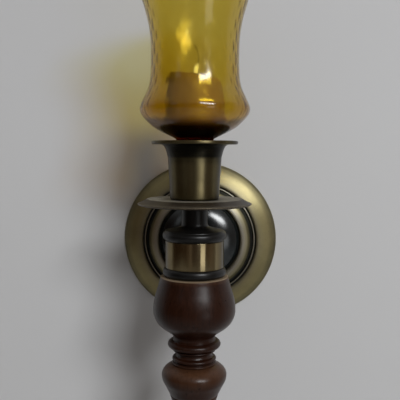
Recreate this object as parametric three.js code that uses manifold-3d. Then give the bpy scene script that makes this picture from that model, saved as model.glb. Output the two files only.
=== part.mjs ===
// Wall sconce for a peg votive: stepped wall plate, short arm, turned stem, cup, glass and candle.
// Millimetres. +Z is up, the wall is the plane y = 0 and the sconce stands out towards -Y.
import * as THREE from 'three';
import Module from 'manifold-3d';
import { mergeVertices } from 'three/addons/utils/BufferGeometryUtils.js';

// --- driving dimensions ---
const ROUND = 28; // sides of a large turned piece
const SMALL_ROUND = 16; // sides of rods, washers and small holes
const GAP = 0.3; // clearance between pieces that fit into one another
const SEAT = 0.1; // clearance between pieces stacked face to face

const REACH = 72; // wall to stem axis

const PLATE_RADIUS = 57.15;
const PLATE_WALL = 1.6;
const PLATE_SEAT = 9; // height of the flat middle of the plate off the wall
const BOSS_RADIUS = 28.6;
const BOSS_TOP = 17.6;

const ROD_RADIUS = 2.5;
const ROD_HOLE = ROD_RADIUS + GAP;
const STEM_WALL = 2.6; // material left between the arm rod and the stem rod
const ARM_ROD_START = 0.3; // the arm rod stops just short of the wall
const STEM_ROD_BOTTOM = -40;
const STEM_ROD_TOP = 44.6;
const SPINDLE_SOCKET_BOTTOM = -42;

const STRAP_LENGTH = 98;
const STRAP_WIDTH = 16;
const STRAP_THICKNESS = 1.5;
const STRAP_BACK = 4.2; // wall to the back face of the strap
const KEYHOLE_HEIGHT = 30;
const KEYHOLE_RADIUS = 4.6;
const KEYHOLE_SLOT_HALF = 2.2;
const KEYHOLE_SLOT_LENGTH = 8;

const WASHER_RADIUS = 6;
const WASHER_THICKNESS = 0.8;
const NUT_RADIUS = 4.7;
const ARM_NUT_THICKNESS = 2.7;
const CUP_NUT_THICKNESS = 3.4;

const ARM_RING_RADIUS = 9.5;
const ARM_RING_LENGTH = 4.6;
const ARM_TUBE_RADIUS = 6.35;
const ARM_TUBE_BORE = 5.2;
const SADDLE_RADIUS = 8.4;
const SADDLE_LENGTH = 6;

const COLLAR_RADIUS = 18.8;
const COLLAR_WALL = 1.5;
const COLLAR_HALF = 8.75;
const LOWER_RING_RADIUS = 20.3;
const LOWER_RING_BOTTOM = -14.3;
const NECK_RADIUS = 8.3;
const NECK_BEAD_RADIUS = 20.5;
const NECK_TOP = 30.8;

const PAN_RADIUS = 36.4;
const PAN_SEAT = 34.8;
const CUP_BOTTOM = PAN_SEAT + SEAT;
const CUP_FLOOR = 39;
const CUP_BORE = 12.4;
const FLANGE_RADIUS = 27.5;
const FLANGE_TOP = 72;

const PEG_BOTTOM = 52;
const GLASS_FLOOR = 79.2; // middle of the glass's bowl
const GLASS_RIM = 171;
const PEG_RING_BOTTOM = 62;
const PEG_RING_TOP = 67;

const CANDLE_BOTTOM = 80.8; // the candle's foot rests part-way down the bowl
const CANDLE_RADIUS = 18.4;
const CANDLE_TOP = 114;
const WICK_RADIUS = 0.8;
const WICK_HOLE = WICK_RADIUS + GAP;
const TAB_RADIUS = 8;

// --- finishes ---
const FINISHES = {
  antique_brass: { color: 0x8f6d3a, roughness: 0.38, metalness: 1 },
  black_lacquer: { color: 0x0d0b0b, roughness: 0.16, metalness: 0 },
  dark_bronze: { color: 0x4b3d31, roughness: 0.55, metalness: 0.8 },
  dark_wood: { color: 0x35160e, roughness: 0.34, metalness: 0 },
  raw_wood: { color: 0x9a7350, roughness: 0.8, metalness: 0 },
  zinc_steel: { color: 0x8b8c8c, roughness: 0.42, metalness: 1 },
  amber_glass: { color: 0xbf9a3c, roughness: 0.06, metalness: 0, transparent: true, opacity: 0.45 },
  wax: { color: 0xc9b078, roughness: 0.6, metalness: 0 },
  wick_cotton: { color: 0xcdbf9f, roughness: 0.95, metalness: 0 },
  rubber: { color: 0x1c1b1a, roughness: 0.85, metalness: 0 },
};

const wasm = await Module();
wasm.setup();

function piece(name, finish, geometry) {
  const mesh = new THREE.Mesh(geometry, new THREE.MeshStandardMaterial(FINISHES[finish]));
  mesh.name = name;
  return mesh;
}

// A turned solid about Z, from [radius, height] pairs listed from the bottom outwards and up.
function turned(profile, sides = ROUND) {
  const points = profile.map(([radius, height]) => new THREE.Vector2(radius, height));
  const geometry = new THREE.LatheGeometry(points, sides);
  return geometry.rotateX(Math.PI / 2);
}

// A turned ring closes on itself round its hole.
function turnedRing(profile, sides = ROUND) {
  return turned([...profile, profile[0]], sides);
}

// Turns a solid about Z to stand out from the wall, so its height becomes the distance off the wall.
function offWall(geometry) {
  return geometry.rotateX(Math.PI / 2);
}

function ring(innerRadius, outerRadius, bottom, top, sides = ROUND) {
  return turnedRing([
    [innerRadius, bottom],
    [outerRadius, bottom],
    [outerRadius, top],
    [innerRadius, top],
  ], sides);
}

function rodBetween(bottom, top) {
  return turned([[0, bottom], [ROD_RADIUS, bottom], [ROD_RADIUS, top], [0, top]], SMALL_ROUND);
}

// Points on a rounded bead, from its lower edge out and up to its upper edge.
function bead(radius, middle, half, swell, steps) {
  const points = [];
  for (let step = 0; step <= steps; step += 1) {
    const angle = Math.PI * (step / steps - 0.5);
    points.push([radius + swell * Math.cos(angle), middle + half * Math.sin(angle)]);
  }
  return points;
}

// A flowing profile through [radius, height] points.
function flowing(points, steps) {
  const curve = new THREE.SplineCurve(points.map(([radius, height]) => new THREE.Vector2(radius, height)));
  return curve.getPoints(steps).map((point) => [point.x, point.y]);
}

function toManifold(geometry) {
  geometry.deleteAttribute('normal');
  geometry.deleteAttribute('uv');
  const merged = mergeVertices(geometry);
  return new wasm.Manifold(new wasm.Mesh({
    numProp: 3,
    vertProperties: merged.attributes.position.array,
    triVerts: new Uint32Array(merged.index.array),
  }));
}

function fromManifold(manifold) {
  const mesh = manifold.getMesh();
  const geometry = new THREE.BufferGeometry();
  geometry.setAttribute('position', new THREE.BufferAttribute(mesh.vertProperties, 3));
  geometry.setIndex(new THREE.BufferAttribute(mesh.triVerts, 1));
  geometry.computeVertexNormals();
  return geometry;
}

function cut(solid, cutter) {
  return fromManifold(toManifold(solid).subtract(toManifold(cutter)));
}

// A round cutter along Y, between two distances behind the stem axis.
function crossCutter(radius, from, to) {
  const cutter = new THREE.CylinderGeometry(radius, radius, to - from, SMALL_ROUND);
  return cutter.translate(0, (from + to) / 2, 0);
}

function hexNut(thickness) {
  const outline = new THREE.Shape();
  for (let corner = 0; corner < 6; corner += 1) {
    const angle = corner * Math.PI / 3;
    const x = NUT_RADIUS * Math.cos(angle);
    const y = NUT_RADIUS * Math.sin(angle);
    if (corner === 0) outline.moveTo(x, y);
    else outline.lineTo(x, y);
  }
  outline.closePath();
  const hole = new THREE.Path();
  hole.absarc(0, 0, ROD_HOLE, 0, 2 * Math.PI, true);
  outline.holes.push(hole);
  return new THREE.ExtrudeGeometry(outline, { depth: thickness, bevelEnabled: false, curveSegments: 8 });
}

// --- wall side ---
function wallPlate() {
  const inside = PLATE_RADIUS - PLATE_WALL;
  return offWall(turnedRing([
    [inside, 0],
    [PLATE_RADIUS, 0],
    [PLATE_RADIUS, 2.2],
    [55.6, 4.8],
    [52.4, 7.2],
    [48.6, 8.8],
    [44.6, 9.7],
    [42.6, 9.5],
    [41.9, 7.3],
    [41.3, 7.3],
    [40.9, 8.3],
    [40.2, 8.3],
    [39.8, 7.3],
    [39, 7.4],
    [38.2, 9.2],
    [36.4, 10.8],
    [34, 11.6],
    [31.8, 11.9],
    [30.5, 11],
    [30.1, PLATE_SEAT],
    [ROD_HOLE, PLATE_SEAT],
    [ROD_HOLE, PLATE_SEAT - PLATE_WALL],
    [31, PLATE_SEAT - PLATE_WALL],
    [32, 10.2],
    [34, 10],
    [35.8, 9.3],
    [37, 7.9],
    [37.6, 6],
    [42.9, 6],
    [43.9, 8],
    [45.4, 8],
    [48.2, 7.2],
    [51.6, 5.7],
    [54.2, 3.6],
    [inside, 2],
  ]));
}

function plateBoss() {
  const seat = PLATE_SEAT + SEAT;
  return offWall(turnedRing([
    [ROD_HOLE, seat],
    [BOSS_RADIUS, seat],
    [BOSS_RADIUS, 10.1],
    [26.9, 11.8],
    [23.5, 13.9],
    [19, 15.7],
    [14, 16.9],
    [ARM_RING_RADIUS, BOSS_TOP],
    [ROD_HOLE, BOSS_TOP],
  ]));
}

function hangerStrap() {
  const halfWidth = STRAP_WIDTH / 2;
  const straight = STRAP_LENGTH / 2 - halfWidth;
  const outline = new THREE.Shape();
  outline.absarc(0, straight, halfWidth, 0, Math.PI, false);
  outline.absarc(0, -straight, halfWidth, Math.PI, 2 * Math.PI, false);
  outline.closePath();

  const rodHole = new THREE.Path();
  rodHole.absarc(0, 0, ROD_HOLE, 0, 2 * Math.PI, true);

  const slotAngle = Math.acos(KEYHOLE_SLOT_HALF / KEYHOLE_RADIUS);
  const slotTop = KEYHOLE_HEIGHT + KEYHOLE_SLOT_LENGTH;
  const keyhole = new THREE.Path();
  keyhole.absarc(0, KEYHOLE_HEIGHT, KEYHOLE_RADIUS, slotAngle, Math.PI - slotAngle, true);
  keyhole.absarc(0, slotTop, KEYHOLE_SLOT_HALF, Math.PI, 0, true);
  keyhole.closePath();

  outline.holes.push(rodHole, keyhole);
  const settings = { depth: STRAP_THICKNESS, bevelEnabled: false, curveSegments: 10 };
  return offWall(new THREE.ExtrudeGeometry(outline, settings).translate(0, 0, STRAP_BACK));
}

function armRing() {
  const start = BOSS_TOP + SEAT;
  const half = ARM_RING_LENGTH / 2;
  return offWall(turnedRing([
    [ROD_HOLE, start],
    ...bead(ARM_RING_RADIUS - 1.6, start + half, half, 1.6, 6),
    [ROD_HOLE, start + ARM_RING_LENGTH],
  ]));
}

function armTube(start, end) {
  return offWall(ring(ARM_TUBE_BORE, ARM_TUBE_RADIUS, start, end));
}

// The saddle's free end is hollowed to the round of the collar.
function saddle(start) {
  const blank = offWall(ring(ROD_HOLE, SADDLE_RADIUS, start, start + SADDLE_LENGTH + 2));
  const collar = new THREE.CylinderGeometry(COLLAR_RADIUS + GAP, COLLAR_RADIUS + GAP, 60, 64);
  return cut(blank, collar.rotateX(Math.PI / 2).translate(0, -REACH, 0));
}

function wallParts() {
  const group = new THREE.Group();
  const strapWasher = STRAP_BACK - SEAT - WASHER_THICKNESS;
  const tubeStart = BOSS_TOP + ARM_RING_LENGTH + 2 * SEAT;
  const saddleStart = REACH - COLLAR_RADIUS - SADDLE_LENGTH;
  const rodEnd = REACH - ROD_RADIUS - STEM_WALL - GAP;
  const nut = hexNut(ARM_NUT_THICKNESS).translate(0, 0, strapWasher - SEAT - ARM_NUT_THICKNESS);
  const washer = ring(ROD_HOLE, WASHER_RADIUS, strapWasher, strapWasher + WASHER_THICKNESS, SMALL_ROUND);
  const rod = rodBetween(ARM_ROD_START, rodEnd);
  group.add(
    piece('wall_plate', 'antique_brass', wallPlate()),
    piece('plate_boss', 'black_lacquer', plateBoss()),
    piece('hanger_strap', 'zinc_steel', hangerStrap()),
    piece('arm_washer', 'zinc_steel', offWall(washer)),
    piece('arm_nut', 'zinc_steel', offWall(nut)),
    piece('arm_rod', 'zinc_steel', offWall(rod)),
    piece('arm_ring', 'antique_brass', armRing()),
    piece('arm_tube', 'antique_brass', armTube(tubeStart, saddleStart - SEAT)),
    piece('arm_saddle', 'antique_brass', saddle(saddleStart)),
  );
  return group;
}

// --- stem, heights from the arm axis ---
function collar() {
  const sleeve = ring(COLLAR_RADIUS - COLLAR_WALL, COLLAR_RADIUS, -COLLAR_HALF, COLLAR_HALF);
  return cut(sleeve, crossCutter(ROD_HOLE, COLLAR_RADIUS - 6, COLLAR_RADIUS + 6));
}

function coreBlock() {
  const radius = COLLAR_RADIUS - COLLAR_WALL - GAP;
  const block = ring(ROD_HOLE, radius, -COLLAR_HALF, COLLAR_HALF);
  return cut(block, crossCutter(ROD_HOLE, ROD_RADIUS + STEM_WALL, radius + 6));
}

function lowerRing() {
  const top = -COLLAR_HALF - SEAT;
  const half = (top - LOWER_RING_BOTTOM) / 2;
  return turnedRing([
    [ROD_HOLE, LOWER_RING_BOTTOM],
    ...bead(LOWER_RING_RADIUS - 1.7, top - half, half, 1.7, 6),
    [ROD_HOLE, top],
  ]);
}

function neck() {
  const bottom = COLLAR_HALF + SEAT;
  return turnedRing([
    [ROD_HOLE, bottom],
    [18.9, bottom],
    [20, 10.1],
    [NECK_BEAD_RADIUS, 11.6],
    [NECK_BEAD_RADIUS, 12.8],
    [19.9, 14.2],
    [18.8, 14.9],
    [17.6, 15.1],
    [13.5, 16.1],
    [10.6, 16.8],
    [9, 17.7],
    [NECK_RADIUS, 19.4],
    [NECK_RADIUS, NECK_TOP],
    [ROD_HOLE, NECK_TOP],
  ]);
}

function dripPan() {
  const underside = NECK_TOP + SEAT;
  return turnedRing([
    [ROD_HOLE, underside],
    [34.2, underside],
    [35.7, 31.3],
    [PAN_RADIUS, 31.9],
    [PAN_RADIUS, 32.4],
    [33.6, 33.5],
    [31.2, 34.8],
    [29.9, 35.4],
    [28.5, 35.3],
    [26.2, PAN_SEAT],
    [ROD_HOLE, PAN_SEAT],
  ]);
}

function candleCup() {
  return turnedRing([
    [ROD_HOLE, CUP_BOTTOM],
    [15, CUP_BOTTOM],
    [15.7, 35.9],
    [16.1, 41],
    [16.5, 48],
    [16.9, 57],
    [17.2, 61.4],
    [17.7, 63.8],
    [18.6, 66.7],
    [20.2, 69.2],
    [26.9, 69.8],
    [FLANGE_RADIUS, 70.4],
    [FLANGE_RADIUS, 71.5],
    [26.9, FLANGE_TOP],
    [13.4, FLANGE_TOP],
    [CUP_BORE, 71],
    [CUP_BORE, CUP_FLOOR],
    [ROD_HOLE, CUP_FLOOR],
  ]);
}

function spindle() {
  const top = LOWER_RING_BOTTOM - SEAT;
  const ball = flowing([
    [13.7, -54.9],
    [15.1, -51.9],
    [21.4, -47.2],
    [25.2, -42.2],
    [26.6, -36],
    [25.9, -29.5],
    [23.7, -21.8],
    [22.2, -16],
  ], 12);
  const upperBead = bead(13.6, -58.9, 2.7, 3.7, 5);
  const upperFillet = [13.9, -62.8];
  const groove = [11.5, -65.2];
  const lowerBead = bead(12.2, -68.4, 1.5, 2.3, 4);
  const lowerFillet = [14.2, -71.1];
  const bulb = flowing([
    [12.1, -106],
    [15.6, -92.9],
    [18.6, -86.4],
    [21, -81],
    [20.9, -77.7],
    [18.2, -74.1],
    [13.6, -72],
  ], 12);
  const vase = flowing([
    [7.6, -142.6],
    [8.6, -132],
    [9.8, -119],
  ], 4);
  const ringBead = bead(9.2, -137.6, 2.5, 2.6, 4);
  const drop = flowing([
    [3.2, -176.4],
    [5.6, -170.4],
    [10.4, -163.4],
    [12.4, -156.4],
    [11, -149.6],
    [7.8, -144.6],
  ], 8);
  return turned([
    [0, -177.6],
    ...drop,
    ...vase.slice(0, 1),
    ...ringBead,
    ...vase.slice(2),
    ...bulb,
    lowerFillet,
    ...lowerBead,
    groove,
    upperFillet,
    ...upperBead,
    ...ball,
    [21.6, top],
    [ROD_HOLE, top],
    [ROD_HOLE, SPINDLE_SOCKET_BOTTOM],
    [0, SPINDLE_SOCKET_BOTTOM],
  ]);
}

// --- glass and candle ---
function pegRadius(height) {
  return THREE.MathUtils.mapLinear(height, PEG_BOTTOM, FLANGE_TOP, 9.4, 11.6);
}

function glassVotive() {
  return turned([
    [0, PEG_BOTTOM],
    [8.2, PEG_BOTTOM],
    [pegRadius(53.2), 53.2],
    [pegRadius(FLANGE_TOP), FLANGE_TOP],
    [12.6, 73.5],
    [15.8, 75.1],
    [21, 77.6],
    [26.7, 81],
    [31.3, 85.2],
    [33.9, 88.4],
    [34.9, 91.6],
    [34, 95],
    [31.6, 100.2],
    [29.5, 105.2],
    [28.3, 110.4],
    [27.8, 118],
    [27.9, 133],
    [28.9, 142.4],
    [31, 151.4],
    [33.6, 160],
    [37.4, 169.6],
    [37.5, 170.6],
    [36.7, GLASS_RIM],
    [36, 170.2],
    [32.2, 160.2],
    [29.5, 151.6],
    [27.4, 142.6],
    [26.3, 133],
    [26, 118],
    [26.3, 110.4],
    [27.4, 105.2],
    [29.4, 100.1],
    [31.3, 95.6],
    [31.9, 92.4],
    [31.4, 89.9],
    [29.5, 87.2],
    [26.5, 84.6],
    [23.1, 82.4],
    [19.5, 81],
    [14.5, 79.9],
    [8.5, 79.3],
    [0, GLASS_FLOOR],
  ]);
}

function pegRing() {
  return turnedRing([
    [pegRadius(PEG_RING_BOTTOM) + GAP, PEG_RING_BOTTOM],
    [CUP_BORE - GAP, PEG_RING_BOTTOM],
    [CUP_BORE - GAP, PEG_RING_TOP],
    [pegRadius(PEG_RING_TOP) + GAP, PEG_RING_TOP],
  ]);
}

function candleWax() {
  const recess = CANDLE_BOTTOM + 0.8;
  const tabSocket = CANDLE_BOTTOM + 4;
  return turnedRing([
    [TAB_RADIUS + GAP, CANDLE_BOTTOM],
    [17.3, CANDLE_BOTTOM],
    [19.6, 82.4],
    [20.2, 84.5],
    [19.4, 86.8],
    [CANDLE_RADIUS, 90.4],
    [17.9, 104],
    [17.2, 110.8],
    [16.6, 113],
    [15.6, CANDLE_TOP],
    [13.6, 113.7],
    [8, 112.9],
    [WICK_HOLE, 112.6],
    [WICK_HOLE, tabSocket],
    [2.2, tabSocket],
    [2.2, recess],
    [TAB_RADIUS + GAP, recess],
  ]);
}

function wickTab() {
  const bottom = CANDLE_BOTTOM + 0.05;
  return turned([
    [0, bottom],
    [TAB_RADIUS, bottom],
    [TAB_RADIUS, bottom + 0.4],
    [1.8, bottom + 0.5],
    [1.6, bottom + 2.8],
    [0, bottom + 2.8],
  ], SMALL_ROUND);
}

function wick() {
  const outline = new THREE.Shape();
  outline.absarc(0, 0, WICK_RADIUS, 0, 2 * Math.PI, false);
  const path = new THREE.CatmullRomCurve3([
    new THREE.Vector3(0, 0, CANDLE_BOTTOM + 3.2),
    new THREE.Vector3(0, 0, 102),
    new THREE.Vector3(0, 0, 112.2),
    new THREE.Vector3(1.3, 0, 117.6),
    new THREE.Vector3(2.3, -0.2, 122.8),
    new THREE.Vector3(0.5, -0.4, 131),
  ]);
  return new THREE.ExtrudeGeometry(outline, { steps: 14, extrudePath: path, curveSegments: 4 });
}

function stemParts() {
  const group = new THREE.Group();
  group.position.set(0, -REACH, 0);
  const washerBottom = CUP_FLOOR + SEAT;
  const washerTop = washerBottom + WASHER_THICKNESS;
  const cupNut = hexNut(CUP_NUT_THICKNESS).translate(0, 0, washerTop + SEAT);
  group.add(
    piece('collar', 'antique_brass', collar()),
    piece('core_block', 'raw_wood', coreBlock()),
    piece('neck', 'black_lacquer', neck()),
    piece('lower_ring', 'black_lacquer', lowerRing()),
    piece('spindle', 'dark_wood', spindle()),
    piece('stem_rod', 'zinc_steel', rodBetween(STEM_ROD_BOTTOM, STEM_ROD_TOP)),
    piece('drip_pan', 'dark_bronze', dripPan()),
    piece('candle_cup', 'antique_brass', candleCup()),
    piece('cup_washer', 'zinc_steel', ring(ROD_HOLE, WASHER_RADIUS, washerBottom, washerTop, SMALL_ROUND)),
    piece('cup_nut', 'zinc_steel', cupNut),
    piece('glass_votive', 'amber_glass', glassVotive()),
    piece('peg_ring', 'rubber', pegRing()),
    piece('candle_wax', 'wax', candleWax()),
    piece('wick_tab', 'zinc_steel', wickTab()),
    piece('wick', 'wick_cotton', wick()),
  );
  return group;
}

const sconce = new THREE.Group();
sconce.name = 'wall_sconce';
sconce.add(wallParts(), stemParts());

export default sconce;
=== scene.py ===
"""Wall sconce with an amber peg votive: the detailed pieces and their looks, round the CAD frame."""
import math

import bpy
import numpy as np
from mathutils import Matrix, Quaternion, Vector


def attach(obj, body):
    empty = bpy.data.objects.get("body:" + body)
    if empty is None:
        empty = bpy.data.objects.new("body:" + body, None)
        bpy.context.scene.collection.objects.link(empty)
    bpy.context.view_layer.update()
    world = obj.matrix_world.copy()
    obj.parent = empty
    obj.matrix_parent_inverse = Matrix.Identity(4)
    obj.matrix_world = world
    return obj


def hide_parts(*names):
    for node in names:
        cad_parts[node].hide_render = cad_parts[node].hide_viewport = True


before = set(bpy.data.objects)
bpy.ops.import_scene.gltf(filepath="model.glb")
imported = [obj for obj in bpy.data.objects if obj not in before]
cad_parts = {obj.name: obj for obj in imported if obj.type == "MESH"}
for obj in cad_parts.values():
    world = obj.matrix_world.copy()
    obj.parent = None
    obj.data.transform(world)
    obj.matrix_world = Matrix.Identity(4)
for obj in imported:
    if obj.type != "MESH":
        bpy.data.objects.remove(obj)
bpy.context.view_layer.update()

# Lengths of the object are in millimetres. Profiles are lists of (radius, height[, easing of the corner]).
MM = 0.001
REACH = 72.0
STEM = (0.0, -REACH * MM, 0.0)
WALL = (0.0, 0.0, 0.0)

BORE = 2.8
ROD_RADIUS = 2.5
THREAD_ROOT = 2.3
THREAD_PITCH = 0.8
THREAD_DEPTH = 0.28
THREAD_FADE = 0.6
SADDLE_SEAT = 19.1
SADDLE_BEND = 48.4
SADDLE_END = 53.2
COLLAR_HALF = 8.75
SPINDLE_BOTTOM = -177.6
PEG_BOTTOM = 52.0
GLASS_FLOOR = 79.2
GLASS_TOP = 171.0
DIAMONDS_AROUND = 24
DIAMOND_RISE = 13.5
CANDLE_BOTTOM = 80.8
STRANDS = 3
STRAND_PITCH = 3.4
EASED_EDGE = 0.3

# Colours are linear.
BRIGHT_BRASS = (0.41, 0.352, 0.178)
ARM_BRASS = (0.50, 0.42, 0.215)
CUP_BRASS = (0.175, 0.143, 0.072)
COLLAR_BRASS = (0.335, 0.268, 0.146)
WORN_BRASS = (0.50, 0.47, 0.40)
# The three dark oxide colours below also carry painted shade: on the plate's outer rim, on the cup's foot and
# under its flange, along the collar's edges, and where cup and collar turn away from view.
DARK_OXIDE_AND_SHADE = (0.030, 0.032, 0.030)
CUP_OXIDE_AND_SHADE = (0.013, 0.012, 0.009)
COLLAR_OXIDE_AND_SHADE = (0.030, 0.021, 0.012)
BRONZE_DEEP = (0.034, 0.024, 0.015)
BRONZE_PALE = (0.060, 0.045, 0.028)
BRONZE_RUBBED = (0.30, 0.25, 0.17)
PAN_DUST = (0.360, 0.335, 0.270)
BOSS_BLACK = (0.0040, 0.0060, 0.0068)
NECK_BLACK = (0.0028, 0.0026, 0.0024)
LACQUER_BLOOM = (0.034, 0.030, 0.025)
STAIN_DEEP = (0.0070, 0.0021, 0.0010)
STAIN_PALE = (0.042, 0.0125, 0.0050)
STAIN_PORE = (0.006, 0.0026, 0.0016)
STAIN_LIT = (0.095, 0.042, 0.020)
RIM_HIGHLIGHT = (0.26, 0.19, 0.12)
BARE_WOOD_DEEP = (0.30, 0.17, 0.08)
BARE_WOOD_PALE = (0.52, 0.34, 0.19)
STEEL_BRIGHT = (0.43, 0.42, 0.40)
STEEL_DULL = (0.28, 0.26, 0.23)
RUBBER_DEEP = (0.012, 0.012, 0.012)
RUBBER_PALE = (0.03, 0.029, 0.028)
WAX_DEEP = (0.30, 0.195, 0.095)
WAX_PALE = (0.38, 0.26, 0.14)
WAX_FOOT_SHADE = (0.060, 0.032, 0.014)
WAX_MELTED = (0.25, 0.165, 0.080)
COTTON_DEEP = (0.92, 0.90, 0.84)
COTTON_PALE = (1.0, 0.99, 0.96)
CHAR = (0.022, 0.014, 0.009)
AMBER_SURFACE = (0.93, 0.89, 0.70)
AMBER_DEPTH = (0.930, 0.845, 0.18, 1)
AMBER_DENSITY = 900.0
AMBER_LIGHT = (0.955, 0.965, 1.0, 1)
WALL_PAINT = (0.70, 0.70, 0.705)
FLOOR_PAINT = (0.56, 0.555, 0.54)
CEILING = (0.29, 0.29, 0.29, 1)
STUDIO = (0.52, 0.52, 0.52, 1)

# ---------------------------------------------------------------- profiles


def flow(points, per):
    """A smooth curve through (radius, height) points, with per steps between each two."""
    p = [np.array(q, float) for q in points]
    p = [2 * p[0] - p[1]] + p + [2 * p[-1] - p[-2]]
    out = []
    for i in range(1, len(p) - 2):
        for step in range(per):
            t = step / per
            a = 2 * p[i]
            b = (p[i + 1] - p[i - 1]) * t
            c = (2 * p[i - 1] - 5 * p[i] + 4 * p[i + 1] - p[i + 2]) * t * t
            d = (3 * p[i] - p[i - 1] - 3 * p[i + 1] + p[i + 2]) * t * t * t
            out.append(tuple((a + b + c + d) / 2))
    out.append(tuple(p[-2]))
    return out


def bead(radius, middle, half, swell, steps):
    """A half-round bead, from its lower edge out and up to its upper edge."""
    turns = [math.pi * (s / steps - 0.5) for s in range(steps + 1)]
    return [(radius + swell * math.cos(a), middle + half * math.sin(a)) for a in turns]


def eased(points, closed, steps=4):
    """Rounds each corner given as (radius, height, easing); plain pairs stay as they are."""
    out = []
    count = len(points)
    for i, point in enumerate(points):
        here = np.array(point[:2], float)
        ease = point[2] if len(point) > 2 else 0.0
        at_end = not closed and i in (0, count - 1)
        if ease <= 0 or at_end:
            out.append(tuple(here))
            continue
        before = np.array(points[i - 1][:2], float) - here
        after = np.array(points[(i + 1) % count][:2], float) - here
        start = here + before / np.linalg.norm(before) * min(ease, np.linalg.norm(before) * 0.48)
        end = here + after / np.linalg.norm(after) * min(ease, np.linalg.norm(after) * 0.48)
        for s in range(steps + 1):
            t = s / steps
            out.append(tuple((1 - t) ** 2 * start + 2 * t * (1 - t) * here + t * t * end))
    return out


def ramp(value, start, length):
    """0 up to start and 1 from a length further on; a negative length runs the other way."""
    return np.clip((value - start) / length, 0, 1)


def lengthen(points, closed, longest):
    """Splits long straight runs, so that a later change of shape has points to move."""
    out = []
    count = len(points)
    for i in range(count if closed else count - 1):
        a, b = np.array(points[i]), np.array(points[(i + 1) % count])
        cuts = max(1, int(math.ceil(np.linalg.norm(b - a) / longest)))
        out.extend(tuple(a + (b - a) * s / cuts) for s in range(cuts))
    if not closed:
        out.append(tuple(points[-1]))
    return out


# ---------------------------------------------------------------- meshes


def mesh_object(name, verts, faces, location=STEM):
    """A smooth-shaded mesh in the scene, in metres from its location."""
    mesh = bpy.data.meshes.new(name)
    mesh.from_pydata([tuple(v) for v in verts], [], faces)
    mesh.validate()
    mesh.shade_smooth()
    obj = bpy.data.objects.new(name, mesh)
    bpy.context.scene.collection.objects.link(obj)
    obj.location = location
    return obj


def signed_area(points):
    """Twice the area inside the profile, negative when it runs the other way round."""
    r = np.array([p[0] for p in points])
    h = np.array([p[1] for p in points])
    return float(np.sum(r * np.roll(h, -1) - np.roll(r, -1) * h))


def revolve(name, profile, axis="Z", sides=144, closed=True, longest=None, reshape=None):
    """A turned mesh round the stem (Z) or out from the wall (Y).

    A closed profile closes on itself; any other starts and ends on the axis.
    reshape(angle, radius, height) returns the radii and heights to use instead.
    """
    points = eased(profile, closed)
    if longest:
        points = lengthen(points, closed, longest)
    if signed_area(points) < 0:
        points = points[::-1]
    rows = points if closed else points[1:-1]
    angle = np.linspace(0, 2 * math.pi, sides, endpoint=False)
    radius = np.repeat(np.array([p[0] for p in rows])[:, None], sides, 1)
    height = np.repeat(np.array([p[1] for p in rows])[:, None], sides, 1)
    turn = np.repeat(angle[None, :], len(rows), 0)
    if reshape:
        radius, height = reshape(turn, radius, height)
    flat = np.stack([radius * np.cos(turn), radius * np.sin(turn), height], -1).reshape(-1, 3)
    verts = list(flat)
    faces = []
    count = len(rows)
    for i in range(count if closed else count - 1):
        j = (i + 1) % count
        for k in range(sides):
            m = (k + 1) % sides
            faces.append((i * sides + k, i * sides + m, j * sides + m, j * sides + k))
    if not closed:
        low, high = len(verts), len(verts) + 1
        verts.append(np.array([0, 0, points[0][1]]))
        verts.append(np.array([0, 0, points[-1][1]]))
        last = (count - 1) * sides
        for k in range(sides):
            m = (k + 1) % sides
            faces.append((low, m, k))
            faces.append((high, last + k, last + m))
    verts = np.array(verts) * MM
    if axis == "Y":
        verts = np.stack([verts[:, 0], -verts[:, 2], verts[:, 1]], -1)
    return mesh_object(name, verts, faces, STEM if axis == "Z" else WALL)


def swept(points, radius, sides, start):
    """Rings of a round strand along points, and its faces, counted from vertex start."""
    points = np.array(points, float)
    along = np.gradient(points, axis=0)
    along /= np.linalg.norm(along, axis=1)[:, None]
    side = np.cross(along, np.array([0.0, 1.0, 0.02]))
    side /= np.linalg.norm(side, axis=1)[:, None]
    other = np.cross(along, side)
    angle = np.linspace(0, 2 * math.pi, sides, endpoint=False)
    radii = np.broadcast_to(np.asarray(radius, float), (len(points),))
    rings = points[:, None, :] + radii[:, None, None] * (
        np.cos(angle)[None, :, None] * side[:, None, :] + np.sin(angle)[None, :, None] * other[:, None, :]
    )
    faces = []
    for i in range(len(points) - 1):
        for k in range(sides):
            m = (k + 1) % sides
            a, b = start + i * sides, start + (i + 1) * sides
            faces.append((a + k, b + k, b + m, a + m))
    faces.append(tuple(start + k for k in range(sides)))
    end = start + (len(points) - 1) * sides
    faces.append(tuple(end + k for k in reversed(range(sides))))
    return rings.reshape(-1, 3), faces


def paint(piece, material):
    """Gives a piece one material."""
    piece.data.materials.clear()
    piece.data.materials.append(material)


def place(piece, body, slot, material, *nodes):
    """Paints a piece, fixes it to its body and lets it stand for its CAD nodes."""
    paint(piece, material)
    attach(piece, body)
    if nodes:
        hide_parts(*nodes)


# ---------------------------------------------------------------- materials


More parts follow.
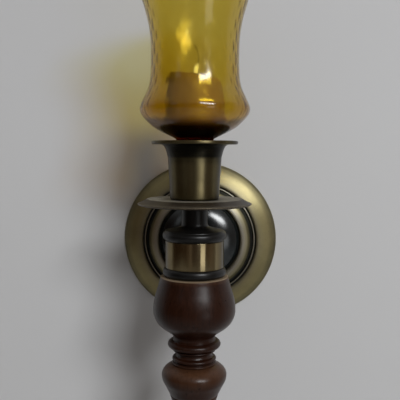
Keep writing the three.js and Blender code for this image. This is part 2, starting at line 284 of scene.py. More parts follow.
class Look:
    """A material built from nodes, with millimetre coordinates from the piece's own axis."""

    def __init__(self, name, axis="Z"):
        self.material = bpy.data.materials.new(name)
        self.material.use_nodes = True
        self.tree = self.material.node_tree
        self.shader = self.tree.nodes["Principled BSDF"]
        self.output = self.tree.nodes["Material Output"]
        self.axis = axis
        coord = self.add("ShaderNodeTexCoord")
        scaled = self.add("ShaderNodeVectorMath", operation="SCALE")
        scaled.inputs["Scale"].default_value = 1 / MM
        self.join(coord.outputs["Object"], scaled.inputs[0])
        self.mm = scaled.outputs[0]
        parts = self.add("ShaderNodeSeparateXYZ")
        self.join(self.mm, parts.inputs[0])
        self.x, self.y, self.z = parts.outputs

    def add(self, kind, **settings):
        """A new node with its settings."""
        node = self.tree.nodes.new(kind)
        for key, value in settings.items():
            setattr(node, key, value)
        return node

    def join(self, source, target):
        """Links a socket to the target, or sets the target to a number or colour."""
        if isinstance(source, (int, float)):
            target.default_value = source
        elif isinstance(source, tuple):
            target.default_value = (*source, 1.0) if len(source) == 3 and target.type == "RGBA" else source
        else:
            self.tree.links.new(source, target)

    def math(self, operation, a, b=0.0, c=0.0, clamp=False):
        """One arithmetic step on values or sockets."""
        node = self.add("ShaderNodeMath", operation=operation, use_clamp=clamp)
        for value, socket in zip((a, b, c), node.inputs):
            self.join(value, socket)
        return node.outputs[0]

    def vector(self, x, y, z):
        """A vector from three values or sockets."""
        node = self.add("ShaderNodeCombineXYZ")
        for value, socket in zip((x, y, z), node.inputs):
            self.join(value, socket)
        return node.outputs[0]

    def stretched(self, sx, sy, sz):
        """The coordinates in millimetres, times a factor along each axis."""
        node = self.add("ShaderNodeVectorMath", operation="MULTIPLY")
        self.join(self.mm, node.inputs[0])
        node.inputs[1].default_value = (sx, sy, sz)
        return node.outputs[0]

    def noise(self, vector, scale=1.0, detail=3.0, roughness=0.5):
        """Cloudy variation from 0 to 1."""
        node = self.add("ShaderNodeTexNoise")
        self.join(vector, node.inputs["Vector"])
        node.inputs["Scale"].default_value = scale
        node.inputs["Detail"].default_value = detail
        node.inputs["Roughness"].default_value = roughness
        return node.outputs["Fac"]

    def radius(self):
        """Distance from the piece's turning axis."""
        first, second = (self.x, self.y) if self.axis == "Z" else (self.x, self.z)
        squares = self.math("ADD", self.math("MULTIPLY", first, first), self.math("MULTIPLY", second, second))
        return self.math("SQRT", squares)

    def turning(self):
        """Direction round the turning axis, as a point on a unit circle."""
        radius = self.math("MAXIMUM", self.radius(), 0.5)
        first, second = (self.x, self.y) if self.axis == "Z" else (self.x, self.z)
        return self.math("DIVIDE", first, radius), self.math("DIVIDE", second, radius)

    def span(self, value, low, high, to_low=0.0, to_high=1.0):
        """Carries a value from one range to another, and stops at both ends."""
        node = self.add("ShaderNodeMapRange", clamp=True)
        self.join(value, node.inputs["Value"])
        node.inputs["From Min"].default_value = low
        node.inputs["From Max"].default_value = high
        node.inputs["To Min"].default_value = to_low
        node.inputs["To Max"].default_value = to_high
        return node.outputs["Result"]

    def steps(self, value, low, high, stops):
        """A smooth run of tones over value; stops are (place on value, tone)."""
        node = self.add("ShaderNodeValToRGB")
        node.color_ramp.interpolation = "EASE"
        self.join(self.span(value, low, high), node.inputs[0])
        elements = node.color_ramp.elements
        while len(elements) > 1:
            elements.remove(elements[-1])
        for index, (at, tone) in enumerate(stops):
            spot = (at - low) / (high - low)
            element = elements[0] if index == 0 else elements.new(spot)
            element.position = spot
            element.color = (tone, tone, tone, 1)
        return node.outputs["Color"]

    def mix(self, share, a, b):
        """Colour a, with a share of colour b."""
        node = self.add("ShaderNodeMix", data_type="RGBA")
        self.join(share, node.inputs[0])
        self.join(a, node.inputs[6])
        self.join(b, node.inputs[7])
        return node.outputs[2]

    def upward(self, low, high):
        """How far a face looks up."""
        node = self.add("ShaderNodeNewGeometry")
        parts = self.add("ShaderNodeSeparateXYZ")
        self.join(node.outputs["Normal"], parts.inputs[0])
        return self.span(parts.outputs[2], low, high)

    def facing(self):
        """0 where a face is seen square on, 1 where it turns away."""
        return self.add("ShaderNodeLayerWeight").outputs["Facing"]

    def bump(self, height, strength, distance, under=None):
        """Relief from a height, on top of any relief under it."""
        node = self.add("ShaderNodeBump")
        node.inputs["Strength"].default_value = strength
        node.inputs["Distance"].default_value = distance * MM
        self.join(height, node.inputs["Height"])
        if under is not None:
            self.join(under, node.inputs["Normal"])
        return node.outputs[0]

    def blend_with(self, share, other):
        """Shows another shader instead of the main one, by the share."""
        both = self.add("ShaderNodeMixShader")
        self.join(share, both.inputs[0])
        self.join(self.shader.outputs[0], both.inputs[1])
        self.join(other.outputs[0], both.inputs[2])
        self.join(both.outputs[0], self.output.inputs["Surface"])

    def set(self, **values):
        """Sets the shader's own inputs, by name with _ for a space."""
        for key, value in values.items():
            self.join(value, self.shader.inputs[key.replace("_", " ")])

    def swing(self, value, amount, base, clamp=False):
        """The base, raised or lowered as the value passes one half."""
        centred = self.math("SUBTRACT", value, 0.5)
        return self.math("MULTIPLY_ADD", centred, amount, base, clamp=clamp)

    def share(self, value, part):
        """A value times a plain factor."""
        return self.math("MULTIPLY", value, part)


def turned_metal(name, axis, bright, dark, oxide_and_shade, rough, anisotropic=0.8, edge=0.0, worn=None):
    """Lacquered, brush-finished metal.

    The darkening function says where the metal is darkened, by oxide and by painted shade, and worn(look)
    where the metal is rubbed pale.
    The edge factor darkens the metal where it turns away from view: painted shade, standing in for the dim
    room it reflects.
    """
    look = Look(name, axis)
    cos, sin = look.turning()
    radius = look.radius()
    along = look.z if axis == "Z" else look.y
    broad = look.noise(look.mm, 0.09, 4, 0.6)
    fine = look.noise(look.mm, 0.6, 5, 0.6)
    across = look.math("ADD", radius, along)
    lines_at = look.vector(look.share(cos, 1.1), look.share(sin, 1.1), look.share(across, 5.0))
    brushed = look.noise(lines_at, 1.6, 4, 0.7)
    mottled = look.swing(broad, 0.4, oxide_and_shade(look))
    mottled = look.swing(brushed, 0.24, mottled, clamp=True)
    colour = look.mix(mottled, bright, dark)
    speck = look.span(fine, 0.64, 0.72)
    colour = look.mix(look.share(speck, 0.35), colour, dark)
    if worn:
        colour = look.mix(worn(look), colour, WORN_BRASS)
    # Painted shade: the metal darkens towards its dark colour where it turns away from view.
    if edge:
        colour = look.mix(look.span(look.facing(), 0.25, 0.75, 0.0, edge), colour, dark)
    gloss = look.swing(brushed, 0.10, look.span(mottled, 0, 1, *rough))
    gloss = look.swing(fine, 0.05, gloss, clamp=True)
    tangent = look.add("ShaderNodeTangent", direction_type="RADIAL", axis=axis)
    look.join(tangent.outputs[0], look.shader.inputs["Tangent"])
    look.set(Base_Color=colour, Roughness=gloss, Metallic=1.0, Anisotropic=anisotropic,
             Anisotropic_Rotation=0.25)
    look.set(Normal=look.bump(brushed, 0.08, 0.03, look.bump(broad, 0.15, 0.2)))
    return look.material


def plate_oxide_and_rim_shade(look):
    """Oxide left in the grooves of the plate and worn off its crests, and painted shade on the outer rim
    where it turns down to the wall.
    """
    return look.steps(look.radius(), 0, 60, [
        (27.6, 1.0), (29.8, 1.0), (30.8, 0.15), (32.4, 0.05), (34.6, 0.15), (36.4, 0.6), (38.2, 1.0),
        (39.9, 1.0), (40.3, 0.3), (40.8, 0.3), (41.2, 1.0), (41.9, 1.0), (42.8, 0.2), (46.4, 0.06),
        # The last stops darken the outer rim: painted shade.
        (51, 0.12), (54.4, 0.4), (56.4, 0.66), (57.2, 0.4)])


def plate_wear(look):
    """Brass rubbed pale along the inner crests of the plate."""
    return look.steps(look.radius(), 0, 60, [
        (30.0, 0.0), (30.8, 0.9), (32.2, 0.9), (34.6, 0.4), (36.2, 0.0), (40.1, 0.0), (40.4, 0.9),
        (40.8, 0.9), (41.1, 0.0), (42.3, 0.2), (43.2, 0.3), (45.6, 0.1), (49.0, 0.0)])


def cup_painted_shade(look):
    """Darker round the cup's foot where it sits on the pan and under its flange: painted shade."""
    return look.steps(look.z, 30, 75, [
        (34.9, 0.75), (36.4, 0.3), (39, 0.18), (56, 0.2), (60.4, 0.5), (62.6, 0.95), (69.2, 1.0),
        (70.2, 0.3), (72, 0.2)])


def collar_painted_shade(look):
    """Darker along both edges of the collar, where it meets the black rings: painted shade."""
    return look.steps(look.z, -10, 10, [(-8.7, 0.6), (-7.9, 0.15), (0, 0.1), (7.9, 0.15), (8.7, 0.6)])


def even_patina(look):
    """Oxide in soft clouds."""
    return look.span(look.noise(look.mm, 0.2, 3), 0.35, 0.75, 0.1, 0.45)


def bronze_look():
    """Dark bronze paint, dusty on what faces up and rubbed along the thin edge."""
    look = Look("drip_pan_bronze")
    broad = look.noise(look.mm, 0.12, 5, 0.6)
    fine = look.noise(look.mm, 1.4, 5, 0.65)
    radius = look.radius()
    colour = look.mix(look.span(broad, 0.3, 0.7), BRONZE_DEEP, BRONZE_PALE)
    rubbed = look.math("MULTIPLY", look.span(radius, 35.4, 36.3), look.span(fine, 0.4, 0.62))
    colour = look.mix(look.share(rubbed, 0.5), colour, BRONZE_RUBBED)
    dust = look.math("MULTIPLY", look.upward(0.90, 0.98), look.span(broad, 0.22, 0.62, 0.5, 0.95))
    dust = look.math("MULTIPLY", dust, look.span(radius, 15.5, 24, 0.45, 1.0))
    grit = look.math("MULTIPLY", dust, look.span(fine, 0.3, 0.7, 0.7, 1.0))
    colour = look.mix(grit, colour, PAN_DUST)
    look.set(Base_Color=colour, Metallic=look.math("MULTIPLY_ADD", grit, -0.5, 0.6),
             Roughness=look.span(grit, 0, 0.8, 0.42, 0.78))
    look.set(Normal=look.bump(fine, 0.12, 0.05, look.bump(broad, 0.2, 0.15)))
    return look.material


def lacquer_look(name, axis, base, rough, level):
    """Black lacquer with fine ripples and a dull bloom where dust settles."""
    look = Look(name, axis)
    broad = look.noise(look.mm, 0.16, 4, 0.55)
    fine = look.noise(look.mm, 2.2, 4, 0.6)
    colour = look.mix(look.span(broad, 0.3, 0.7), base, tuple(v * 1.7 for v in base))
    bloom = look.math("MULTIPLY", look.upward(0.1, 0.9), look.span(fine, 0.35, 0.65, 0.3, 1.0))
    colour = look.mix(look.share(bloom, 0.2), colour, LACQUER_BLOOM)
    look.set(Base_Color=colour, Roughness=look.span(broad, 0.3, 0.7, rough * 0.85, rough * 1.2),
             Specular_IOR_Level=level)
    look.set(Normal=look.bump(fine, 0.05, 0.02, look.bump(broad, 0.16, 0.1)))
    return look.material


def wood_look():
    """Dark stained turned wood: soft grain, long pores and faint turning marks, with painted light on the
    shoulders and a painted highlight along the top rim.
    """
    look = Look("spindle_wood")
    streak = look.noise(look.stretched(0.8, 0.8, 0.03), 1.0, 4, 0.6)
    pores = look.noise(look.stretched(3.2, 3.2, 0.16), 1.0, 2, 0.5)
    cloud = look.noise(look.mm, 0.05, 3)
    tone = look.swing(streak, 0.9, 0.15)
    tone = look.math("MULTIPLY_ADD", cloud, 0.5, tone, clamp=True)
    colour = look.mix(tone, STAIN_DEEP, STAIN_PALE)
    pore = look.span(pores, 0.60, 0.70)
    colour = look.mix(look.share(pore, 0.6), colour, STAIN_PORE)
    # Painted light: lighter bands on the lower bulb's shoulder, along its incised ring and near the top rim,
    # where the turning faces the light.
    shoulder = look.steps(look.z, -180, -10, [
        (-93.4, 0.0), (-92.5, 0.5), (-91.6, 0.0), (-84, 0.1), (-78, 0.45), (-74.0, 0.9), (-71.6, 0.5),
        (-70.4, 0.05), (-60, 0.0), (-17.6, 0.0), (-15.8, 0.3), (-14.4, 0.4)])
    lit_share = look.math("MULTIPLY", shoulder, look.span(streak, 0.25, 0.7, 0.5, 1.0))
    colour = look.mix(lit_share, colour, STAIN_LIT)
    # Painted highlight: a pale line along the top rim.
    colour = look.mix(look.span(look.z, -15.05, -14.75), colour, RIM_HIGHLIGHT)
    turning = look.noise(look.vector(0.0, 0.0, look.share(look.z, 3.0)), 1.0, 3, 0.7)
    look.set(Base_Color=colour, Roughness=look.span(streak, 0.2, 0.8, 0.25, 0.37), Specular_IOR_Level=1.0,
             IOR=1.22)
    surface = look.bump(look.math("SUBTRACT", 1.0, pore), 0.3, 0.05)
    look.set(Normal=look.bump(turning, 0.08, 0.05, surface))
    return look.material


def bare_wood_look():
    """Bare grain for the block inside the collar."""
    look = Look("core_wood")
    streak = look.noise(look.stretched(1.2, 1.2, 0.06), 1.0, 4)
    look.set(Base_Color=look.mix(streak, BARE_WOOD_DEEP, BARE_WOOD_PALE), Roughness=0.8)
    look.set(Normal=look.bump(streak, 0.3, 0.1))
    return look.material


def steel_look():
    """Zinc-plated steel, clouded and lightly scratched."""
    look = Look("zinc_steel")
    broad = look.noise(look.mm, 0.35, 5, 0.6)
    fine = look.noise(look.stretched(1.0, 1.0, 6.0), 1.2, 4)
    colour = look.mix(look.span(broad, 0.35, 0.7), STEEL_BRIGHT, STEEL_DULL)
    look.set(Base_Color=colour, Metallic=1.0, Roughness=look.span(fine, 0.3, 0.7, 0.32, 0.52))
    look.set(Normal=look.bump(fine, 0.12, 0.03))
    return look.material


def rubber_look():
    """Matte black rubber."""
    look = Look("peg_ring_rubber")
    fine = look.noise(look.mm, 3.0, 4)
    look.set(Base_Color=look.mix(fine, RUBBER_DEEP, RUBBER_PALE), Roughness=0.8)
    look.set(Normal=look.bump(fine, 0.3, 0.05))
    return look.material


def wax_look():
    """Candle wax, deeper in tone where it melted, with painted shade darkest at its foot."""
    look = Look("candle_wax")
    broad = look.noise(look.mm, 0.1, 4, 0.6)
    fine = look.noise(look.mm, 0.9, 4, 0.6)
    colour = look.mix(look.span(broad, 0.3, 0.7), WAX_DEEP, WAX_PALE)
    # Painted shade: the wax darkens towards its foot, deep inside the thick glass.
    colour = look.mix(look.span(look.z, 80, 92, 0.85, 0.0), colour, WAX_FOOT_SHADE)
    melted = look.span(look.z, 108, 113.5)
    colour = look.mix(look.share(melted, 0.45), colour, WAX_MELTED)
    look.set(Base_Color=colour, Roughness=look.span(melted, 0, 1, 0.50, 0.52), Subsurface_Weight=0.35,
             Subsurface_Radius=(0.6, 0.35, 0.2), Subsurface_Scale=0.004)
    look.set(Normal=look.bump(fine, 0.15, 0.15, look.bump(broad, 0.3, 0.6)))
    return look.material


def wick_look():
    """Braided cotton, charred towards its tip, with a faint painted glow."""
    look = Look("wick_cotton")
    fibre = look.noise(look.stretched(6.0, 6.0, 2.0), 1.0, 3)
    cotton = look.mix(fibre, COTTON_DEEP, COTTON_PALE)
    height = look.swing(fibre, 1.5, look.z)
    colour = look.mix(look.span(height, 119.0, 120.6), cotton, CHAR)
    look.set(Base_Color=colour, Roughness=look.span(height, 119.0, 120.6, 0.3, 0.95), Specular_IOR_Level=0.9)
    # Painted light: the unlit cotton glows faintly in its own colour.
    look.set(Emission_Color=colour, Emission_Strength=0.7)
    look.set(Normal=look.bump(fibre, 0.5, 0.1))
    return look.material


def glass_look():
    """Amber glass that deepens where it is thick, and lets tinted light through to the wall."""
    look = Look("votive_amber")
    look.set(Base_Color=AMBER_SURFACE, Roughness=0.155, Transmission_Weight=1.0, IOR=1.5)
    look.set(Normal=look.bump(look.noise(look.stretched(0.3, 0.3, 0.1), 1.0, 3), 0.18, 0.2))
    tint = look.add("ShaderNodeBsdfTransparent")
    tint.inputs["Color"].default_value = AMBER_LIGHT
    path = look.add("ShaderNodeLightPath")
    spread = look.math("MAXIMUM", path.outputs["Is Shadow Ray"], path.outputs["Is Diffuse Ray"])
    look.blend_with(spread, tint)
    absorb = look.add("ShaderNodeVolumeAbsorption")
    absorb.inputs["Color"].default_value = AMBER_DEPTH
    absorb.inputs["Density"].default_value = AMBER_DENSITY
    look.join(absorb.outputs[0], look.output.inputs["Volume"])
    return look.material


plate_brass = turned_metal("plate_brass", "Y", BRIGHT_BRASS, DARK_OXIDE_AND_SHADE, plate_oxide_and_rim_shade,
                           rough=(0.45, 0.54), anisotropic=0.7, worn=plate_wear)
cup_brass = turned_metal("cup_brass", "Z", CUP_BRASS, CUP_OXIDE_AND_SHADE, cup_painted_shade, rough=(0.32, 0.44), edge=0.85)
collar_brass = turned_metal("collar_brass", "Z", COLLAR_BRASS, COLLAR_OXIDE_AND_SHADE, collar_painted_shade,
                            rough=(0.14, 0.26), anisotropic=0.9, edge=0.85)
arm_brass = turned_metal("arm_brass", "Y", ARM_BRASS, DARK_OXIDE_AND_SHADE, even_patina, rough=(0.26, 0.40))
pan_bronze = bronze_look()
boss_black = lacquer_look("boss_lacquer", "Y", BOSS_BLACK, rough=0.20, level=0.75)
neck_black = lacquer_look("neck_lacquer", "Z", NECK_BLACK, rough=0.35, level=0.34)
spindle_wood = wood_look()
core_wood = bare_wood_look()
steel = steel_look()
rubber = rubber_look()
wax = wax_look()
cotton = wick_look()
amber = glass_look()

# ---------------------------------------------------------------- wall side


def plate_profile():
    """The stamped shell: outside from the rim to the boss, then back along the inside."""
    band = flow([
        (57.1, 2.3), (55.7, 4.7), (52.4, 7.2), (48.8, 8.75), (45.6, 9.5), (43.6, 9.72), (42.5, 9.4)], 7)
    bead_ring = flow([
        (38.6, 7.9), (38.1, 9.3), (36.4, 10.75), (34.1, 11.55), (32.1, 11.85), (30.9, 11.5), (30.4, 10.3)], 7)
    inner = flow([(31.2, 7.7), (32.1, 9.8), (33.8, 10.0), (35.8, 9.25), (36.9, 8.0)], 4)
    inner_band = flow([(43.3, 6.7), (44.2, 7.8), (46.0, 7.8), (50.0, 6.4), (53.8, 3.9), (55.5, 2.0)], 4)
    return (
        [(55.55, 0.0, 0.35), (57.15, 0.0, 0.45)] + band
        + [(41.95, 7.3, 0.4), (41.2, 7.3, 0.4), (40.95, 8.35, 0.25), (40.2, 8.35, 0.25), (39.75, 7.3, 0.4),
           (38.9, 7.3, 0.4)]
        + bead_ring
        + [(30.0, 9.0, 0.3), (BORE, 9.0, 0.15), (BORE, 7.4, 0.15), (30.7, 7.4, 0.5)]
        + inner
        + [(37.6, 6.0, 0.5), (42.4, 6.0, 0.6)]
        + inner_band
    )


def boss_profile():
    """The low dome round the arm."""
    dome = flow([(28.5, 10.2), (27.0, 11.75), (23.5, 13.9), (19.0, 15.7), (14.0, 16.9), (9.0, 17.55)], 7)
    return [(BORE, 9.1, 0.1), (28.6, 9.1, 0.25)] + dome + [(BORE, 17.6, 0.1)]


place(revolve("wall_plate_look", plate_profile(), "Y", sides=192),
      "sconce", "antique_brass", plate_brass, "wall_plate")
place(revolve("plate_boss_look", boss_profile(), "Y", sides=160),
      "sconce", "black_lacquer", boss_black, "plate_boss")
arm_bead = [(BORE, 17.7, 0.1)] + bead(7.9, 20.0, 2.3, 1.6, 16) + [(BORE, 22.3, 0.1)]
place(revolve("arm_ring_look", arm_bead, "Y", sides=128), "sconce", "antique_brass", arm_brass, "arm_ring")
tube = [(5.2, 22.4, 0.2), (6.35, 22.4, 0.3), (6.35, 47.1, 0.3), (5.2, 47.1, 0.2)]
place(revolve("arm_tube_look", tube, "Y", sides=112), "sconce", "antique_brass", arm_brass, "arm_tube")


def saddle_fit(turn, radius, height):
    """Carries the saddle's free end onto the round of the collar."""
    reach = REACH - np.sqrt(SADDLE_SEAT ** 2 - (radius * np.cos(turn)) ** 2)
    share = ramp(height, SADDLE_BEND, SADDLE_END - SADDLE_BEND)
    return radius, height + share * (reach - SADDLE_END)


saddle = [(BORE, 47.2, 0.1), (7.2, 47.2, 0.3), (8.0, 48.0, 0.5), (8.4, 49.4, 0.6),
          (8.4, SADDLE_END, 0.15), (BORE, SADDLE_END, 0.1)]
place(revolve("arm_saddle_look", saddle, "Y", sides=128, longest=0.5, reshape=saddle_fit),
      "sconce", "antique_brass", arm_brass, "arm_saddle")
washer = [(BORE, 3.3, 0.1), (6.0, 3.3, 0.2), (6.0, 4.1, 0.2), (BORE, 4.1, 0.1)]
place(revolve("arm_washer_look", washer, "Y", sides=96), "sconce", "zinc_steel", steel, "arm_washer")


def threaded(low, high, start, end):
    """A rod between two heights, threaded from start to end."""
    profile = [(0.0, low), (ROD_RADIUS, low, 0.35), (ROD_RADIUS, high, 0.35), (0.0, high)]

    def cut(turn, radius, height):
        phase = np.mod(height / THREAD_PITCH - turn / (2 * math.pi), 1.0)
        groove = THREAD_DEPTH * (1 - np.abs(2 * phase - 1))
        fade = ramp(height, start, THREAD_FADE) * ramp(height, end, -THREAD_FADE)
        return np.where(radius > THREAD_ROOT, radius - groove * fade, radius), height

    return profile, cut


rod_profile, rod_cut = threaded(low=0.3, high=66.6, start=0.3, end=9.0)
place(revolve("arm_rod_look", rod_profile, "Y", sides=48, closed=False, longest=0.13, reshape=rod_cut),
      "sconce", "zinc_steel", steel, "arm_rod")
rod_profile, rod_cut = threaded(low=-40.0, high=44.6, start=38.0, end=44.6)
place(revolve("stem_rod_look", rod_profile, "Z", sides=48, closed=False, longest=0.13, reshape=rod_cut),
      "sconce", "zinc_steel", steel, "stem_rod")
for node in ("hanger_strap", "arm_nut", "cup_nut"):
    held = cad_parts[node]
    paint(held, steel)
    soft = held.modifiers.new("eased_edges", "BEVEL")
    soft.width = EASED_EDGE * MM
    soft.segments = 3
    soft.limit_method = "ANGLE"
    soft.angle_limit = math.radians(40)
paint(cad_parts["core_block"], core_wood)

# ---------------------------------------------------------------- stem

collar = [
    (17.3, -COLLAR_HALF, 0.2), (18.8, -COLLAR_HALF, 0.3),
    (18.8, COLLAR_HALF, 0.3), (17.3, COLLAR_HALF, 0.2),
]
place(revolve("collar_look", collar, sides=176), "sconce", "antique_brass", collar_brass, "collar")

neck = (
    [(BORE, 8.85, 0.1), (18.7, 8.85, 0.3)]
    + flow([(19.0, 9.2), (20.0, 10.2), (20.5, 11.7), (20.3, 13.1), (19.6, 14.2)], 6)
    + [(19.0, 14.5, 0.15), (18.9, 14.9, 0.2), (18.5, 15.15, 0.2)]
    + flow([
        (17.9, 15.2), (15.5, 15.85), (13.0, 16.3), (10.6, 16.85), (9.1, 17.7), (8.45, 19.0), (8.35, 21.0)], 6)
    + [(8.35, 22.0), (8.35, 30.8, 0.1), (BORE, 30.8, 0.1)]
)
place(revolve("neck_look", neck, sides=168), "sconce", "black_lacquer", neck_black, "neck")

lower = [(BORE, -14.3, 0.1)] + bead(18.6, -11.575, 2.725, 1.7, 16) + [(BORE, -8.85, 0.1)]
place(revolve("lower_ring_look", lower, sides=168), "sconce", "black_lacquer", neck_black, "lower_ring")

pan = (
    [(BORE, 30.9, 0.1), (34.0, 30.9, 0.8), (35.7, 31.35, 0.4), (36.4, 31.95, 0.25), (36.4, 32.35, 0.25)]
    + flow([(35.4, 32.75), (33.8, 33.5), (32.3, 34.3), (31.1, 35.0)], 5)
    + [(30.0, 35.45, 0.5), (28.7, 35.25, 0.6), (26.4, 34.8, 1.2), (BORE, 34.8, 0.1)]
)
place(revolve("drip_pan_look", pan, sides=192), "sconce", "dark_bronze", pan_bronze, "drip_pan")

cup = (
    [(BORE, 34.9, 0.1), (15.2, 34.9, 0.7)]
    + flow([
        (15.7, 36.0), (15.95, 40.5), (16.1, 46.0), (16.4, 50.0), (16.85, 57.0), (17.0, 60.3), (17.2, 61.9),
        (17.75, 63.9), (18.3, 66.0), (19.05, 67.8), (19.9, 69.0)], 6)
    + [(21.4, 69.75, 0.5), (27.1, 69.85, 0.3), (27.5, 70.3, 0.3), (27.5, 71.6, 0.3), (27.1, 72.0, 0.3),
       (13.6, 72.0, 0.5), (12.4, 71.0, 0.4), (12.4, 39.0, 0.5), (BORE, 39.0, 0.1)]
)
place(revolve("candle_cup_look", cup, sides=176), "sconce", "antique_brass", cup_brass, "candle_cup")
washer = [(BORE, 39.1, 0.1), (6.0, 39.1, 0.2), (6.0, 39.9, 0.2), (BORE, 39.9, 0.1)]
place(revolve("cup_washer_look", washer, sides=96), "sconce", "zinc_steel", steel, "cup_washer")

spindle = (
    [(0.0, SPINDLE_BOTTOM)]
    + flow([
        (0.1, SPINDLE_BOTTOM), (2.2, -177.0), (3.6, -175.2), (5.6, -170.4), (10.4, -163.4), (12.4, -156.4),
        (11.0, -149.6), (7.8, -144.4)], 7)
    + [(7.5, -142.8, 0.8), (8.9, -140.4, 0.3)]
    + bead(9.2, -137.6, 2.5, 2.6, 16)
    + [(8.9, -134.8, 0.3), (8.5, -133.2, 0.6)]
    + flow([(8.7, -131.0), (9.8, -119.0), (12.1, -106.0), (15.1, -94.5)], 8)
    + [(15.65, -92.9), (15.25, -92.45, 0.15), (15.6, -92.0, 0.2), (16.0, -91.6)]
    + flow([
        (16.4, -90.9), (18.6, -86.4), (20.4, -83.0), (21.1, -80.1), (20.9, -77.7), (19.4, -75.2),
        (16.8, -73.3), (14.5, -72.2)], 7)
    + [(13.5, -71.9, 0.3)]
    + bead(13.1, -71.1, 0.75, 1.2, 8)
    + [(13.2, -70.1, 0.15)]
    + bead(12.1, -68.4, 1.5, 2.2, 12)
    + flow([(11.8, -66.6), (11.4, -65.6), (11.4, -64.8), (11.8, -63.9)], 5)
    + bead(12.5, -62.8, 0.8, 1.4, 8)
    + bead(13.6, -58.9, 2.7, 3.6, 16)
    + flow([
        (13.7, -55.9), (13.6, -54.9), (13.8, -53.6), (14.8, -52.0), (17.6, -49.9), (21.3, -47.2),
        (24.2, -44.1), (26.1, -40.0), (26.62, -36.0), (26.3, -31.8), (25.2, -26.8), (23.7, -21.8),
        (22.5, -17.6), (22.15, -16.0)], 6)
    + [(22.0, -15.1, 0.35), (21.3, -14.5, 0.35), (BORE, -14.4, 0.1), (BORE, -42.0), (0.0, -42.0)]
)
place(revolve("spindle_look", spindle, sides=176, closed=False),
      "sconce", "dark_wood", spindle_wood, "spindle")

# ---------------------------------------------------------------- glass and candle


def optic(turn, height):
    """Diamonds left by the ribbed mould and the twist, 0 on the ribs and 1 in each hollow."""
    across = DIAMONDS_AROUND * turn / (2 * math.pi)
    up = height / DIAMOND_RISE
    return (np.sin(math.pi * (across + up)) * np.sin(math.pi * (across - up))) ** 2


def mould(turn, radius, height):
    """Presses the diamonds into the inside, and faintly into the outside."""
    outer_radius = np.interp(height, outline[:, 1], outline[:, 0])
    inside = (radius < outer_radius - 1.0) & (height > 79.0)
    fade_in = ramp(height, 86, 6) * ramp(height, 170, -5)
    fade_out = ramp(height, 78, 8) * ramp(height, 169, -5)
    shape = optic(turn, height)
    moved = np.where(inside, radius + 0.20 * shape * fade_in, radius - 0.07 * (1 - shape) * fade_out)
    return moved, height


glass_outside = flow([
    (11.6, 72.2), (12.6, 73.5), (15.8, 75.1), (21.0, 77.6), (26.7, 81.0), (31.2, 85.2), (33.9, 88.6),
    (34.85, 91.8), (34.1, 95.0), (31.7, 100.2), (29.5, 105.2), (28.3, 110.4), (27.8, 118.0),
    (27.75, 126.0), (27.95, 134.0), (28.9, 142.4), (30.9, 151.4), (33.6, 160.0), (37.1, 169.0)], 7)
glass_inside = flow([
    (36.0, 169.9), (32.1, 160.2), (29.45, 151.6), (27.45, 142.6), (26.4, 134.0), (26.1, 126.0), (26.0, 118.0),
    (26.3, 110.4), (27.4, 105.2), (29.4, 100.1), (31.4, 95.5), (31.95, 92.4), (31.5, 89.9), (29.6, 87.2),
    (26.6, 84.6), (23.2, 82.4), (19.6, 81.0), (14.5, 79.9), (8.5, 79.35), (3.5, GLASS_FLOOR)], 8)
outline = np.array([(11.0, 60.0)] + glass_outside + [(37.5, GLASS_TOP)])
glass = (
    [(0.0, PEG_BOTTOM), (8.4, PEG_BOTTOM, 1.0), (9.55, 53.2, 1.0), (11.6, 72.0, 0.2)]
    + glass_outside
    + [(37.5, 170.3, 0.5), (37.1, GLASS_TOP, 0.45), (36.4, GLASS_TOP, 0.45)]
    + glass_inside
    + [(0.0, GLASS_FLOOR)]
)
place(revolve("glass_look", glass, sides=288, closed=False, longest=1.3, reshape=mould),
      "glass", "amber_glass", amber, "glass_votive")
peg_ring = [(10.85, 62.0, 0.5), (12.1, 62.0, 1.2), (12.1, 67.0, 1.2), (11.4, 67.0, 0.5)]
place(revolve("peg_ring_look", peg_ring, sides=96), "glass", "rubber", rubber, "peg_ring")


def melted(turn, radius, height):
    """Slumps the rim more on one side and leaves a shallow uneven pool."""
    lean = 0.5 + 0.5 * np.cos(turn - math.radians(-20))
    lean = lean ** 2
    top = ramp(height, 96, 18)
    rim = ramp(radius, 9, 9.6)
    ripple = 0.16 * np.sin(3 * turn + 0.6) + 0.09 * np.sin(7 * turn + 2.0)
    lowered = height - top ** 2 * rim * (4.6 * lean + 0.2 + ripple)
    drawn_in = radius - top ** 3 * rim * (2.4 * lean + 0.15 + 0.2 * ripple)
    slump = 0.18 * np.sin(2 * turn + height * 0.15) * ramp(radius, 12, 6)
    return drawn_in - np.abs(slump), lowered


candle = (
    [(8.3, CANDLE_BOTTOM, 0.1), (17.3, CANDLE_BOTTOM, 0.5)]
    + flow([
        (18.7, 81.6), (19.9, 83.0), (20.15, 84.7), (19.4, 86.8), (18.6, 89.6), (18.35, 94.0), (17.9, 103.0),
        (17.2, 109.8)], 7)
    + flow([
        (16.7, 112.2), (15.9, 113.7), (14.6, 114.0), (12.4, 113.6), (9.5, 112.8), (5.0, 112.3), (2.0, 112.6),
        (1.1, 113.0)], 6)
    + [(1.1, 84.8), (2.2, 84.8), (2.2, 81.6), (8.3, 81.6, 0.1)]
)
place(revolve("candle_look", candle, sides=144, longest=1.5, reshape=melted),
      "candle", "wax", wax, "candle_wax")
tab = [
    (0.0, 80.85), (8.0, 80.85, 0.15), (8.0, 81.25, 0.15), (1.9, 81.35, 0.4), (1.6, 83.65, 0.2), (0.0, 83.65),
]
place(revolve("wick_tab_look", tab, sides=96, closed=False), "candle", "zinc_steel", steel, "wick_tab")


